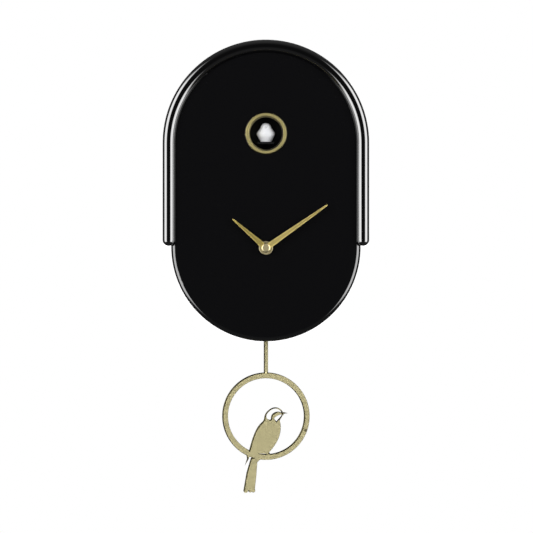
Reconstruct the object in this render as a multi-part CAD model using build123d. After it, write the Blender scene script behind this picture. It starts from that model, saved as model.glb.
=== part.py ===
"""Pendulum wall clock with a cuckoo bird in a round porthole.

Frame: +Z up, the dial faces -Y, the wall is the plane y = 0, and the origin is the centre of the
hanger's keyhole on that plane. Lengths are in millimetres.
"""
from build123d import *
import math
import os

# ---- driving dimensions -----------------------------------------------------------------------
# Case: a pill-shaped shell, open at the back, under an inverted-U hood with a round front bead.
CASE_R = 95.7
ARCH_Z = -60.0
BASE_Z = -163.7
FACE_Y = -62.0
CASE_WALL = 2.5
CASE_EDGE_R = 5.5
CASE_DRAFT = 0.9
HOOD_R = 103.3
HOOD_DRAFT = 0.8
HOOD_GAP = 0.1
HOOD_SKIN = 2.4
BEAD_R = 6.0
BEAD_Y = -63.5
HOOD_END_Z = -163.1
HOOD_SCREW_R = 1.2
HOOD_SCREW_Y = -30.0
HOOD_SCREWS = [(side * CASE_R, z) for side in (-1, 1) for z in (-70.0, -140.0)]

COVER_T = 2.5
COVER_GAP = 0.3
BOSS_R = 4.0
RIGHT_COVER_SCREWS = [(49.9, 11.3), (88.0, -111.9), (55.9, -230.3)]
COVER_SCREWS = RIGHT_COVER_SCREWS + [(-x, z) for x, z in RIGHT_COVER_SCREWS]
KEYHOLE_R = 4.5
KEYHOLE_SLOT_W = 4.6
KEYHOLE_RISE = 9.0
WINDOW_W, WINDOW_H, WINDOW_CORNER_R = 66.0, 66.0, 3.0

# Porthole, bird and its drive.
PORT_Z = -50.4
PORT_R = 16.2
RING_R = 21.0
RING_T = 2.5
TUNNEL_BACK_Y = -36.0
PERCH_Z = -58.95
BIRD_Y = -49.0
PINION_Y = -26.0
RACK_Z = -63.2
DRIVE_M = 0.4
RACK_M = 0.5
RACK_PINION_TEETH = 12
GEAR_TEETH = 28
PINION_TEETH = 10
PLATE_W = 44.0
CHASSIS_SCREWS = [(sx * 18.0, PORT_Z + sz * 18.0) for sx in (-1, 1) for sz in (-1, 1)]
CHASSIS_BACK_Y = TUNNEL_BACK_Y + 1.6
SHAFT_STEP = DRIVE_M * (GEAR_TEETH + PINION_TEETH) / 2
SHAFT_A = (PINION_Y, RACK_Z - RACK_M * RACK_PINION_TEETH / 2)
SHAFT_B = (PINION_Y, SHAFT_A[1] - SHAFT_STEP)
SHAFT_M = (PINION_Y, SHAFT_B[1] - SHAFT_STEP)
SHAFT_R = 0.8
LEFT_PLATE = (-5.5, -4.0)
RIGHT_PLATE = (9.8, 11.3)

# Quartz movement, centred on the hands' axis.
HANDS_Z = -165.0
MOVE_HALF = 28.0
MOVE_FRONT, MOVE_BACK = -58.5, -42.5
MOVE_WALL = 1.2
BUSH_R, BUSH_BORE = 4.0, 2.6
HOUR_PIPE_R, HOUR_PIPE_BORE = 2.5, 1.85
MINUTE_PIPE_R = 1.75
NUT_R, NUT_T = 6.8, 3.2
PIN_R = 0.5
PIN_PLAY = 0.05
MINUTE_WHEEL_AT = (-8.49, 8.49)
SETTING_AT = (-8.49, 20.49)
THIRD_AT = (10.15, 3.69)
INTERMEDIATE_AT = (-8.22, -3.0)
ROTOR_AT = (-14.22, -3.0)
CENTRE = (0.0, 0.0)
WHEEL_BORE = PIN_R + PIN_PLAY
CELL_R = 7.1
CELL_AT_Z, CELL_Y = -19.3, -49.9
THIRD_DISTANCE = math.hypot(*THIRD_AT)
CENTRE_M = 2 * THIRD_DISTANCE / 68
SECONDS_M = 2 * THIRD_DISTANCE / 72
INTERMEDIATE_M = 0.25
MINUTE_M, HOUR_M = 0.5, 0.48

MINUTE_HAND_L, MINUTE_HAND_DEG = 74.7, 55.0
HOUR_HAND_L, HOUR_HAND_DEG = 44.0, -49.0
HAND_T = 0.5

# Pendulum: drive unit low in the case, rod through a slot in its base, ring with a bird.
PIVOT_Z = -203.0
PENDULUM_Y = -36.0
ROD_W, ROD_T = 4.3, 2.6
ROD_TOP_Z = -229.0
RING_CENTRE_Z = -333.75
BOB_R, BOB_INNER_R = 43.9, 38.0
BOB_T = 2.5
SLOT_HALF, SLOT_HALF_DEPTH = 10.5, 3.9
PENDULUM_FRONT, PENDULUM_SPLIT, PENDULUM_BACK = -47.0, -44.5, -25.0
PENDULUM_EAR_X, PENDULUM_EAR_Z = 27.0, -212.0
HOUSING_TOP, HOUSING_BOTTOM = -196.5, -226.0
MAGNET_Z, MAGNET_R = -217.0, 4.0

# Sound unit and its battery box on the back cover.
BOX_X, BOX_Z = (22.0, 80.0), (-122.0, -86.0)
BOX_FRONT = -21.0
CELL_ROWS = (-95.6, -112.4)
CELL_ROW_Y = -12.3
CELL_X = (26.0, 76.5)
DOOR_T = 2.0
DOOR_HINGE_X, DOOR_HINGE_Y = 23.0, -1.2
SPEAKER_AT = (-50.0, -104.0)
SPEAKER_R = 20.0
BOARD_AT = (-56.0, -150.0)
BOARD_W, BOARD_H = 42.0, 26.0
BOARD_FRONT = -10.0
BOARD_T = 1.6
TRAY_T = 1.5
SWITCH_SLOT = (9.0, 3.9)


# ---- helpers ------------------------------------------------------------------------------------
def at(x, z, shape):
    """Move a sketch or a solid drawn about the origin to (x, z) in the front view."""
    return Pos(x, 0, z) * shape


def slab(sketch, front, back, x=0.0, z=0.0):
    """A sketch in the front view (first axis X, second axis Z), thick from y=front to y=back."""
    plane = Plane((x, back, z), x_dir=(1, 0, 0), z_dir=(0, -1, 0))
    return extrude(plane * sketch, back - front)


def disc(r, front, back, x=0.0, z=0.0):
    return slab(Circle(r), front, back, x, z)


def tube(r, bore, front, back, x=0.0, z=0.0):
    return slab(Circle(r) - Circle(bore), front, back, x, z)


def block(x0, x1, y0, y1, z0, z1):
    return Pos((x0 + x1) / 2, (y0 + y1) / 2, (z0 + z1) / 2) * Box(x1 - x0, y1 - y0, z1 - z0)


def barrel(r, x0, x1, y, z):
    """A cylinder along X."""
    return Pos((x0 + x1) / 2, y, z) * Rot(0, 90, 0) * Cylinder(r, x1 - x0)


def pill(r):
    """The case's outline: two half circles joined by straight sides, in the front view."""
    middle = (ARCH_Z + BASE_Z) / 2
    return Pos(0, middle) * SlotCenterToCenter(ARCH_Z - BASE_Z, 2 * r, rotation=90)


def front_edges(solid):
    return solid.faces().sort_by(Axis.Y)[0].edges()


def back_edges(solid):
    return solid.faces().sort_by(Axis.Y)[-1].edges()


def gear(teeth, module, phase=0.0):
    """Outline of a small moulded gear with straight-flanked teeth; phase is one tooth's angle."""
    r = teeth * module / 2
    half = math.pi / teeth
    flank = [(-1.15, 0.55), (0, 0.42), (0.75, 0.22)]
    corners = [(h, share, -1) for h, share in flank] + [(h, share, 1) for h, share in reversed(flank)]
    points = []
    for k in range(teeth):
        middle = math.radians(phase) + 2 * half * k
        for height, share, side in corners:
            radius = r + height * module
            angle = middle + side * share * half
            points.append((radius * math.cos(angle), radius * math.sin(angle)))
    return Polygon(*points, align=None)


def mesh_phase(angle, teeth_a, phase_a, teeth_b):
    """Phase of gear b so that it meshes with gear a, which sees b in the direction of angle."""
    return angle + 180 - 180 / teeth_b + (angle - phase_a) * teeth_a / teeth_b


def direction(a, b):
    return math.degrees(math.atan2(b[1] - a[1], b[0] - a[0]))


def screw(r, head_r, head_t, head_front, tip, x, z):
    """A cross-recess screw along Y with its head towards the back."""
    head = disc(head_r, head_front, head_front + head_t, x, z)
    shank = disc(r, tip, head_front, x, z)
    slot_w = head_r * 0.35
    cross = Rectangle(head_r * 1.3, slot_w) + Rectangle(slot_w, head_r * 1.3)
    recess = slab(cross, head_front + head_t * 0.45, head_front + head_t + 1, x, z)
    return head + shank - recess


def group(*solids):
    return Compound(children=list(solids))


# ---- case -----------------------------------------------------------------------------------------
def case_form(offset):
    """The case as a solid with drafted sides and a rounded front edge, grown by offset."""
    wall_plane = Plane((0, 0, 0), x_dir=(1, 0, 0), z_dir=(0, -1, 0))
    slope = math.degrees(math.atan2(CASE_DRAFT, -FACE_Y))
    form = extrude(wall_plane * pill(CASE_R + offset), offset - FACE_Y, taper=slope)
    return fillet(front_edges(form), CASE_EDGE_R + offset)


def case_shell():
    shell = case_form(0.0) - case_form(-CASE_WALL)
    inside = FACE_Y + CASE_WALL - 0.1
    for x, z in COVER_SCREWS:
        shell += disc(BOSS_R, inside, -COVER_T, x, z)
        shell -= disc(1.25, -16, -COVER_T, x, z)
    for x in (-PENDULUM_EAR_X, PENDULUM_EAR_X):
        shell += disc(3.2, inside, PENDULUM_FRONT, x, PENDULUM_EAR_Z)
        shell -= disc(1.1, PENDULUM_FRONT - 8, PENDULUM_FRONT, x, PENDULUM_EAR_Z)
    shell -= disc(PORT_R + 1.6, FACE_Y - 1, -55, 0, PORT_Z)
    shell -= disc(BUSH_R + 0.2, FACE_Y - 1, -55, 0, HANDS_Z)
    for x, z in HOOD_SCREWS:
        shell -= barrel(HOOD_SCREW_R + 0.1, x - 4, x + 4, HOOD_SCREW_Y, z)
    slot_y = (PENDULUM_Y - SLOT_HALF_DEPTH, PENDULUM_Y + SLOT_HALF_DEPTH)
    shell -= block(-SLOT_HALF, SLOT_HALF, slot_y[0], slot_y[1], -265, -250)
    return shell


def hood():
    """Band round the arch and both sides, ending in round noses, with a full-round front bead."""
    inner_r = CASE_R + HOOD_GAP
    bead_at = HOOD_R - BEAD_R
    nose_z = HOOD_END_Z + BEAD_R
    outer_r = HOOD_R + HOOD_DRAFT
    section = Polygon((inner_r, 0), (inner_r, BEAD_Y), (HOOD_R, BEAD_Y), (outer_r, 0), align=None)
    section += Pos(bead_at, BEAD_Y) * Circle(BEAD_R)
    groove_in, groove_out = inner_r + HOOD_SKIN, HOOD_R - HOOD_SKIN
    groove_front = BEAD_Y + BEAD_R
    groove = Pos((groove_in + groove_out) / 2, groove_front / 2) * Rectangle(
        groove_out - groove_in, -groove_front)
    upright = Plane((0, 0, ARCH_Z), x_dir=(1, 0, 0), z_dir=(0, 0, 1))
    turn = Axis((0, 0, ARCH_Z), (0, -1, 0))
    band = revolve(upright * section, turn, 180)
    nose_plane = Plane((bead_at, 0, nose_z), x_dir=(1, 0, 0), z_dir=(0, -1, 0))
    slope = math.degrees(math.atan2(HOOD_DRAFT, -BEAD_Y))
    nose = extrude(nose_plane * Circle(BEAD_R + HOOD_DRAFT), -BEAD_Y, taper=slope)
    nose &= block(inner_r, outer_r, BEAD_Y, 0, HOOD_END_Z - HOOD_DRAFT, nose_z)
    nose += Pos(bead_at, BEAD_Y, nose_z) * Sphere(BEAD_R)
    arm = extrude(upright * section, nose_z - ARCH_Z) + nose
    body = band + arm + mirror(arm, Plane.YZ)
    hollow = revolve(upright * groove, turn, 180)
    leg = extrude(upright * groove, nose_z + 1 - ARCH_Z)
    body = body - hollow - leg - mirror(leg, Plane.YZ)
    body -= case_form(HOOD_GAP) & block(-HOOD_R, HOOD_R, FACE_Y - 5, FACE_Y + 10, -300, 50)
    for x, z in HOOD_SCREWS:
        body -= barrel(HOOD_SCREW_R, x - 4, x + 4, HOOD_SCREW_Y, z)
    return body


def hood_screws():
    """Screws through the case's side walls into the hood's inner skin."""
    head_r = 2.6
    inner = CASE_R - CASE_WALL - CASE_DRAFT * (HOOD_SCREW_Y - head_r) / FACE_Y
    parts = []
    for x, z in HOOD_SCREWS:
        head = barrel(head_r, inner - 1.4, inner, HOOD_SCREW_Y, z)
        shank = barrel(HOOD_SCREW_R, inner, CASE_R + HOOD_SKIN - 0.1, HOOD_SCREW_Y, z)
        one = head + shank
        parts.append(one if x > 0 else mirror(one, Plane.YZ))
    return group(*parts)


def back_cover():
    plate = slab(pill(CASE_R - CASE_WALL - COVER_GAP), -COVER_T, 0)
    keyhole = Circle(KEYHOLE_R) + Pos(0, KEYHOLE_RISE / 2) * Rectangle(KEYHOLE_SLOT_W, KEYHOLE_RISE)
    keyhole += Pos(0, KEYHOLE_RISE) * Circle(KEYHOLE_SLOT_W / 2)
    plate -= slab(keyhole, -COVER_T - 1, 1)
    window = RectangleRounded(WINDOW_W, WINDOW_H, WINDOW_CORNER_R)
    plate -= slab(window, -COVER_T - 1, 1, 0, HANDS_Z)
    for x, z in COVER_SCREWS:
        plate -= disc(1.7, -COVER_T - 1, 1, x, z)
        plate -= disc(3.4, -1.5, 1, x, z)
    door_z = (BOX_Z[0] + 1.4, BOX_Z[1] - 1.4)
    plate -= block(DOOR_HINGE_X - 1.3, BOX_X[1] - 0.7, -COVER_T - 1, 1, door_z[0], door_z[1])
    plate -= Pos(DOOR_HINGE_X, DOOR_HINGE_Y, (BOX_Z[0] + BOX_Z[1]) / 2) * Cylinder(0.65, 36.8)
    for count, radius in ((1, 0), (6, 5), (12, 10), (18, 15)):
        for k in range(count):
            angle = 2 * math.pi * k / count
            x = SPEAKER_AT[0] + radius * math.cos(angle)
            z = SPEAKER_AT[1] + radius * math.sin(angle)
            plate -= disc(1.3, -COVER_T - 1, 1, x, z)
    plate -= slab(RectangleRounded(*SWITCH_SLOT, 1.0), -COVER_T - 1, 1, BOARD_AT[0], BOARD_AT[1])
    return plate


def back_cover_screws():
    return group(*[screw(1.25, 3.0, 1.3, -1.5, -13, x, z) for x, z in COVER_SCREWS])


# ---- porthole, bird and its drive -----------------------------------------------------------------
def porthole_ring():
    flange = tube(RING_R, PORT_R, FACE_Y - RING_T, FACE_Y, 0, PORT_Z)
    flange = chamfer(front_edges(flange), 0.8)
    spigot = tube(PORT_R + 1.3, PORT_R, FACE_Y, FACE_Y + 3.5, 0, PORT_Z)
    return flange + spigot


def porthole_tunnel():
    inside = FACE_Y + CASE_WALL
    body = tube(PORT_R + 2.5, PORT_R, FACE_Y + 3.5, TUNNEL_BACK_Y, 0, PORT_Z)
    body += tube(PORT_R + 6.5, PORT_R + 1.6, inside, inside + 2, 0, PORT_Z)
    plate = RectangleRounded(PLATE_W, PLATE_W, 4) - Circle(PORT_R)
    body += slab(plate, TUNNEL_BACK_Y - 1.5, TUNNEL_BACK_Y, 0, PORT_Z)
    for x, z in CHASSIS_SCREWS:
        body += disc(3.0, TUNNEL_BACK_Y - 7, TUNNEL_BACK_Y - 1.4, x, z)
        body -= disc(1.0, TUNNEL_BACK_Y - 6, TUNNEL_BACK_Y + 1, x, z)
    return body


def cuckoo_chassis():
    """Front plate behind the tunnel and two side plates that carry the gears and the motor."""
    top, bottom = PORT_Z + 22, SHAFT_M[1] - 9
    plate = RectangleRounded(PLATE_W, top - bottom, 3)
    front = slab(plate, TUNNEL_BACK_Y, CHASSIS_BACK_Y, 0, (top + bottom) / 2)
    front -= block(-3.0, 3.0, TUNNEL_BACK_Y - 1, CHASSIS_BACK_Y + 1, RACK_Z - 0.8, PERCH_Z + 0.4)
    for x, z in CHASSIS_SCREWS:
        front -= disc(1.3, TUNNEL_BACK_Y - 1, CHASSIS_BACK_Y + 1, x, z)
    for x0, x1 in (LEFT_PLATE, RIGHT_PLATE):
        front += block(x0, x1, CHASSIS_BACK_Y - 0.1, -18, bottom, SHAFT_A[1] + 4)
    front -= barrel(1.3, LEFT_PLATE[0] - 1, LEFT_PLATE[1] + 1, SHAFT_M[0], SHAFT_M[1])
    for y, z in (SHAFT_A, SHAFT_B):
        front -= barrel(SHAFT_R, LEFT_PLATE[0] - 1, RIGHT_PLATE[1] + 1, y, z)
    front += block(LEFT_PLATE[0], RIGHT_PLATE[1], CHASSIS_BACK_Y - 0.1, -18, bottom, bottom + 1.5)
    return front


def gear_pins():
    return group(*[barrel(SHAFT_R, LEFT_PLATE[0], RIGHT_PLATE[1], y, z) for y, z in (SHAFT_A, SHAFT_B)])


def chassis_screws():
    tip = TUNNEL_BACK_Y - 5
    return group(*[screw(1.0, 2.4, 1.3, CHASSIS_BACK_Y, tip, x, z) for x, z in CHASSIS_SCREWS])


def side_gear(teeth, module, phase, x0, x1, shaft, bore):
    """A gear on a shaft along X; its outline's axes are Y and Z."""
    plane = Plane((x0, shaft[0], shaft[1]), x_dir=(0, 1, 0), z_dir=(1, 0, 0))
    sketch = gear(teeth, module, phase)
    if bore:
        sketch -= Circle(bore)
    return extrude(plane * sketch, x1 - x0)


PHASE_A = 90 + 180 / RACK_PINION_TEETH
PHASE_B = mesh_phase(-90, GEAR_TEETH, PHASE_A, PINION_TEETH)
PHASE_M = mesh_phase(-90, GEAR_TEETH, PHASE_B, PINION_TEETH)
SHAFT_BORE = SHAFT_R + PIN_PLAY


def rack_pinion_gear():
    pinion = side_gear(RACK_PINION_TEETH, RACK_M, PHASE_A, -2.4, 3.4, SHAFT_A, SHAFT_BORE)
    wheel = side_gear(GEAR_TEETH, DRIVE_M, PHASE_A, 3.4, 5.4, SHAFT_A, SHAFT_BORE)
    return pinion + wheel


def reduction_gear():
    pinion = side_gear(PINION_TEETH, DRIVE_M, PHASE_B, 3.2, 6.6, SHAFT_B, SHAFT_BORE)
    wheel = side_gear(GEAR_TEETH, DRIVE_M, PHASE_B, 6.6, 8.6, SHAFT_B, SHAFT_BORE)
    return pinion + wheel


def cuckoo_motor():
    can = barrel(6.0, LEFT_PLATE[0] - 15, LEFT_PLATE[0], SHAFT_M[0], SHAFT_M[1])
    can &= block(-30, 0, SHAFT_M[0] - 5, SHAFT_M[0] + 5, SHAFT_M[1] - 7, SHAFT_M[1] + 7)
    can += barrel(2.2, LEFT_PLATE[0] - 16.2, LEFT_PLATE[0] - 15, SHAFT_M[0], SHAFT_M[1])
    return can - barrel(0.8, LEFT_PLATE[0] - 6, LEFT_PLATE[0] + 1, SHAFT_M[0], SHAFT_M[1])


def motor_pinion():
    shaft = barrel(0.75, LEFT_PLATE[0] - 5, 9.0, SHAFT_M[0], SHAFT_M[1])
    return shaft + side_gear(PINION_TEETH, DRIVE_M, PHASE_M, 6.4, 8.8, SHAFT_M, 0)


def bird_carriage():
    """Perch under the bird and a bar to the rear with rack teeth on its underside."""
    perch_front, bar_back = BIRD_Y - 7.5, -5.5
    perch = block(-8.5, 8.5, perch_front, -41, PERCH_Z - 2, PERCH_Z)
    bar = block(-2.6, 2.6, -46, bar_back, RACK_Z + 0.6, PERCH_Z)
    pitch = math.pi * RACK_M
    flank = [(-0.55, 0.6), (-0.42, 0), (-0.22, -0.375), (0.22, -0.375), (0.42, 0), (0.55, 0.6)]
    body = perch + bar
    for k in range(-2, 13):
        middle = PINION_Y + pitch * k
        points = [(middle + share * pitch / 2, RACK_Z + height) for share, height in flank]
        tooth = Plane((-2.6, 0, 0), x_dir=(0, 1, 0), z_dir=(1, 0, 0)) * Polygon(*points, align=None)
        body += extrude(tooth, 5.2)
    return body


def bird():
    """Small white bird: a turned body with a domed head, folded wings, a tail and a beak."""
    profile = [(5.3, PERCH_Z), (7.9, PERCH_Z + 5), (8.1, PERCH_Z + 9), (5.6, PERCH_Z + 13.6),
               (4.3, PERCH_Z + 16.4), (0, PERCH_Z + 19.2)]
    curve = Spline(*[(r, 0, z) for r, z in profile], tangents=[(0.8, 0, 1), (-1, 0, 0)])
    axis_line = Polyline((0, 0, PERCH_Z + 19.2), (0, 0, PERCH_Z), (5.3, 0, PERCH_Z))
    body = revolve(make_face([curve, axis_line]), Axis.Z, 360)
    wing = Pos(7.6, 1, PERCH_Z + 8.6) * Rot(-12, 0, 0) * Rot(0, 90, 0) * Cylinder(4.6, 3.4)
    wing = fillet(wing.edges(), 1.5)
    tail = Pos(0, 8.0, PERCH_Z + 5.4) * Rot(18, 0, 0) * Box(5.5, 7, 1.8)
    beak = Pos(0, -5.2, PERCH_Z + 14.8) * Rot(100, 0, 0) * Cone(1.5, 0.25, 3.6)
    whole = body + wing + mirror(wing, Plane.YZ) + fillet(tail.edges(), 0.6) + beak
    return Pos(0, BIRD_Y, 0) * whole


# ---- hands' axis: movement --------------------------------------------------------------------------
def on_movement(point):
    return point[0], HANDS_Z + point[1]


def movement_base():
    inner = MOVE_HALF - MOVE_WALL
    back = MOVE_BACK - MOVE_WALL
    body = slab(RectangleRounded(2 * MOVE_HALF, 2 * MOVE_HALF, 2), MOVE_FRONT, back, 0, HANDS_Z)
    body -= slab(RectangleRounded(2 * inner, 2 * inner, 1), MOVE_FRONT + MOVE_WALL, back + 1, 0, HANDS_Z)
    body += disc(BUSH_R, -66.3, MOVE_FRONT + 0.1, 0, HANDS_Z)
    body -= disc(BUSH_BORE, -70, MOVE_FRONT + MOVE_WALL + 1, 0, HANDS_Z)
    x, z = on_movement(MINUTE_WHEEL_AT)
    return body + disc(PIN_R, MOVE_FRONT + MOVE_WALL - 0.1, -53.9, x, z)


def movement_cover():
    outline = RectangleRounded(2 * MOVE_HALF, 2 * MOVE_HALF, 2)
    cell_opening = Pos(0, CELL_AT_Z) * RectangleRounded(52.4, 14.8, 1)
    plate = slab(outline - cell_opening, MOVE_BACK - MOVE_WALL, MOVE_BACK, 0, HANDS_Z)
    x, z = on_movement(SETTING_AT)
    plate -= disc(1.1, -50, -40, x, z)
    for pin_at in (INTERMEDIATE_AT, THIRD_AT, ROTOR_AT, (0, 0)):
        x, z = on_movement(pin_at)
        plate -= disc(PIN_R, MOVE_BACK - MOVE_WALL - 1, MOVE_BACK - 0.4, x, z)
    return plate


def movement_arbors():
    """Steel pins, fixed in the movement cover, that the wheels of the going train turn on."""
    tips = ((INTERMEDIATE_AT, -50.4), (THIRD_AT, -54.0), (ROTOR_AT, -48.6), ((0, 0), -51.7))
    pins = []
    for pin_at, tip in tips:
        x, z = on_movement(pin_at)
        pins.append(disc(PIN_R, tip, MOVE_BACK - 0.4, x, z))
    return group(*pins)


# Phases of the motion work, from the minute pinion outwards, and of the going train, from the
# centre wheel back to the rotor.
MINUTE_PHASE = mesh_phase(direction(CENTRE, MINUTE_WHEEL_AT), 12, 0, 36)
HOUR_PHASE = mesh_phase(direction(MINUTE_WHEEL_AT, CENTRE), 10, MINUTE_PHASE, 40)
SETTING_PHASE = mesh_phase(direction(MINUTE_WHEEL_AT, SETTING_AT), 36, MINUTE_PHASE, 12)
THIRD_PHASE = mesh_phase(direction(CENTRE, THIRD_AT), 60, 0, 8)
SECONDS_PHASE = mesh_phase(direction(THIRD_AT, CENTRE), 64, THIRD_PHASE, 8)
INTERMEDIATE_PHASE = mesh_phase(direction(CENTRE, INTERMEDIATE_AT), 60, SECONDS_PHASE, 10)
ROTOR_PHASE = mesh_phase(direction(INTERMEDIATE_AT, ROTOR_AT), 40, INTERMEDIATE_PHASE, 8)


def wheel(teeth, module, phase, front, back, point, bore):
    x, z = on_movement(point)
    sketch = gear(teeth, module, phase)
    if bore:
        sketch -= Circle(bore)
    return slab(sketch, front, back, x, z)


def cannon_pinion():
    pinion = wheel(12, MINUTE_M, 0, -55.4, -54.2, CENTRE, 0)
    return pinion + disc(MINUTE_PIPE_R, -69.6, -52.2, 0, HANDS_Z)


def minute_wheel():
    big = wheel(36, MINUTE_M, MINUTE_PHASE, -55.3, -54.3, MINUTE_WHEEL_AT, WHEEL_BORE)
    return big + wheel(10, HOUR_M, MINUTE_PHASE, -57.0, -55.3, MINUTE_WHEEL_AT, WHEEL_BORE)


def hour_wheel():
    plate = wheel(40, HOUR_M, HOUR_PHASE, -56.8, -55.8, CENTRE, HOUR_PIPE_BORE)
    return plate + tube(HOUR_PIPE_R, HOUR_PIPE_BORE, -68.0, -56.7, 0, HANDS_Z)


def setting_knob():
    x, z = on_movement(SETTING_AT)
    shaft = disc(1.0, -57.1, -41.9, x, z)
    grip = slab(gear(30, 0.45), MOVE_BACK + 0.4, -38.4, x, z)
    return shaft + wheel(12, MINUTE_M, SETTING_PHASE, -55.4, -54.2, SETTING_AT, 0) + grip


def centre_wheel():
    return wheel(60, CENTRE_M, 0, -53.4, -52.6, CENTRE, MINUTE_PIPE_R + PIN_PLAY)


def third_wheel():
    big = wheel(64, SECONDS_M, THIRD_PHASE, -51.6, -50.8, THIRD_AT, WHEEL_BORE)
    return big + wheel(8, CENTRE_M, THIRD_PHASE, -53.6, -51.6, THIRD_AT, WHEEL_BORE)


def seconds_wheel():
    big = wheel(60, INTERMEDIATE_M, SECONDS_PHASE, -49.6, -48.8, CENTRE, WHEEL_BORE)
    return big + wheel(8, SECONDS_M, SECONDS_PHASE, -51.8, -49.6, CENTRE, WHEEL_BORE)


def intermediate_wheel():
    big = wheel(40, INTERMEDIATE_M, INTERMEDIATE_PHASE, -47.8, -47.0, INTERMEDIATE_AT, WHEEL_BORE)
    return big + wheel(10, INTERMEDIATE_M, INTERMEDIATE_PHASE, -49.8, -47.8, INTERMEDIATE_AT, WHEEL_BORE)


def rotor():
    x, z = on_movement(ROTOR_AT)
    pinion = wheel(8, INTERMEDIATE_M, ROTOR_PHASE, -48.1, -46.6, ROTOR_AT, WHEEL_BORE)
    return pinion + tube(2.4, WHEEL_BORE, -46.7, -44.8, x, z)


def stator():
    x, z = on_movement((-17.5, -3.0))
    plate = Rectangle(15, 17) - Pos(-2.4, 0) * Rectangle(3.8, 12.6)
    plate -= Pos(ROTOR_AT[0] + 17.5, 0) * Circle(2.9)
    return slab(plate, -46.2, -45.4, x, z)


def stepper_coil():
    x, z = on_movement((-23.35, -3.0))
    body = slab(RectangleRounded(5.6, 12, 0.8), -47.6, -44.0, x, z)
    core = slab(Rectangle(3.5, 14), -46.3, -45.3, x, z)
    return body - core


def movement_battery():
    x, z = 0, HANDS_Z + CELL_AT_Z
    can = barrel(CELL_R, -25.2, 24.2, CELL_Y, z)
    return can + barrel(2.7, 24.2, 25.3, CELL_Y, z)


def movement_contacts():
    z = HANDS_Z + CELL_AT_Z
    spring = block(-26.4, -25.5, CELL_Y - 5, CELL_Y + 5, z - 4, z + 4)
    spring += barrel(2.5, -25.5, -25.2, CELL_Y, z)
    tab = block(25.3, 26.4, CELL_Y - 5, CELL_Y + 5, z - 4, z + 4)
    return group(spring, tab)


def movement_circuit_board():
    x, z = on_movement((14.0, 20.5))
    board = slab(Rectangle(23, 11), -46.0, -45.0, x, z)
    return board + disc(2.4, -46.9, -45.9, x + 4, z)


def quartz_crystal():
    x, z = on_movement((8.0, 20.5))
    return fillet(barrel(1.2, x - 3.5, x + 3.5, -47.2, z).edges(), 0.3)


def rubber_washer():
    return tube(9.0, BUSH_R + 0.05, FACE_Y + CASE_WALL, MOVE_FRONT, 0, HANDS_Z)


def fixing_nut():
    nut = tube(NUT_R, BUSH_R + 0.05, FACE_Y - NUT_T, FACE_Y, 0, HANDS_Z)
    outer = front_edges(nut).sort_by(SortBy.LENGTH)[-1]
    return fillet(outer, 0.4)


def hand(length, root, tip, hub_r, bore, degrees, front):
    """A flat tapered hand; degrees is its angle clockwise from twelve."""
    blade = Polygon((-root / 2, 0), (root / 2, 0), (tip / 2, length), (-tip / 2, length), align=None)
    outline = Rot(0, 0, -degrees) * (blade + Circle(hub_r)) - Circle(bore)
    return slab(outline, front, front + HAND_T, 0, HANDS_Z)


def hour_hand():
    return hand(HOUR_HAND_L, 6.0, 1.4, 4.6, HOUR_PIPE_R, HOUR_HAND_DEG, -67.9)


def minute_hand():
    return hand(MINUTE_HAND_L, 5.8, 1.7, 4.4, MINUTE_PIPE_R, MINUTE_HAND_DEG, -69.4)


def hand_cap():
    """Domed cap pressed on the end of the minute pipe."""
    cap = disc(4.5, -71.6, -69.4, 0, HANDS_Z)
    cap = fillet(front_edges(cap), 1.6)
    return cap - disc(MINUTE_PIPE_R, -69.6, -69, 0, HANDS_Z)


# ---- pendulum ---------------------------------------------------------------------------------------
def housing_outline():
    height = HOUSING_TOP - HOUSING_BOTTOM
    box = Pos(0, HOUSING_TOP - height / 2) * RectangleRounded(44, height, 2)
    for x in (-PENDULUM_EAR_X, PENDULUM_EAR_X):
        box += Pos(x * 0.9, PENDULUM_EAR_Z) * Rectangle(8, 8) + Pos(x, PENDULUM_EAR_Z) * Circle(4)
    return box


def pendulum_cover():
    """Front plate of the drive unit, screwed to the case's two pillars."""
    plate = slab(housing_outline(), PENDULUM_FRONT, PENDULUM_SPLIT)
    plate -= disc(1.0, PENDULUM_FRONT + 1, PENDULUM_SPLIT + 1, 0, PIVOT_Z)
    for x in (-PENDULUM_EAR_X, PENDULUM_EAR_X):
        plate -= disc(1.3, PENDULUM_FRONT - 1, PENDULUM_SPLIT + 1, x, PENDULUM_EAR_Z)
    return plate


def pendulum_housing():
    """Rear shell of the drive unit, open at the front and at the bottom."""
    body = slab(housing_outline(), PENDULUM_SPLIT, PENDULUM_BACK)
    body -= block(-20, 20, PENDULUM_SPLIT - 1, PENDULUM_BACK - 2, HOUSING_BOTTOM - 1, HOUSING_TOP - 2)
    body -= block(22.5, 40, -40, -20, -220, -200)
    body -= block(-40, -22.5, -40, -20, -220, -200)
    for x in (-PENDULUM_EAR_X, PENDULUM_EAR_X):
        body -= disc(1.3, -60, -20, x, PENDULUM_EAR_Z)
    return body - disc(1.0, PENDULUM_SPLIT, PENDULUM_BACK - 0.8, 0, PIVOT_Z)


def pendulum_screws():
    ears = (-PENDULUM_EAR_X, PENDULUM_EAR_X)
    return group(*[screw(1.1, 2.6, 1.3, -40, PENDULUM_FRONT - 6, x, PENDULUM_EAR_Z) for x in ears])


def pendulum_pivot_pin():
    return disc(1.0, PENDULUM_FRONT + 1, PENDULUM_BACK - 0.8, 0, PIVOT_Z)


def pendulum_coil():
    return tube(6.5, 2.0, -31.5, -27.0, 0, MAGNET_Z)


def pendulum_circuit_board():
    return slab(Rectangle(12, 18), -28.6, -27.0, -13.3, -214.0)


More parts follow.
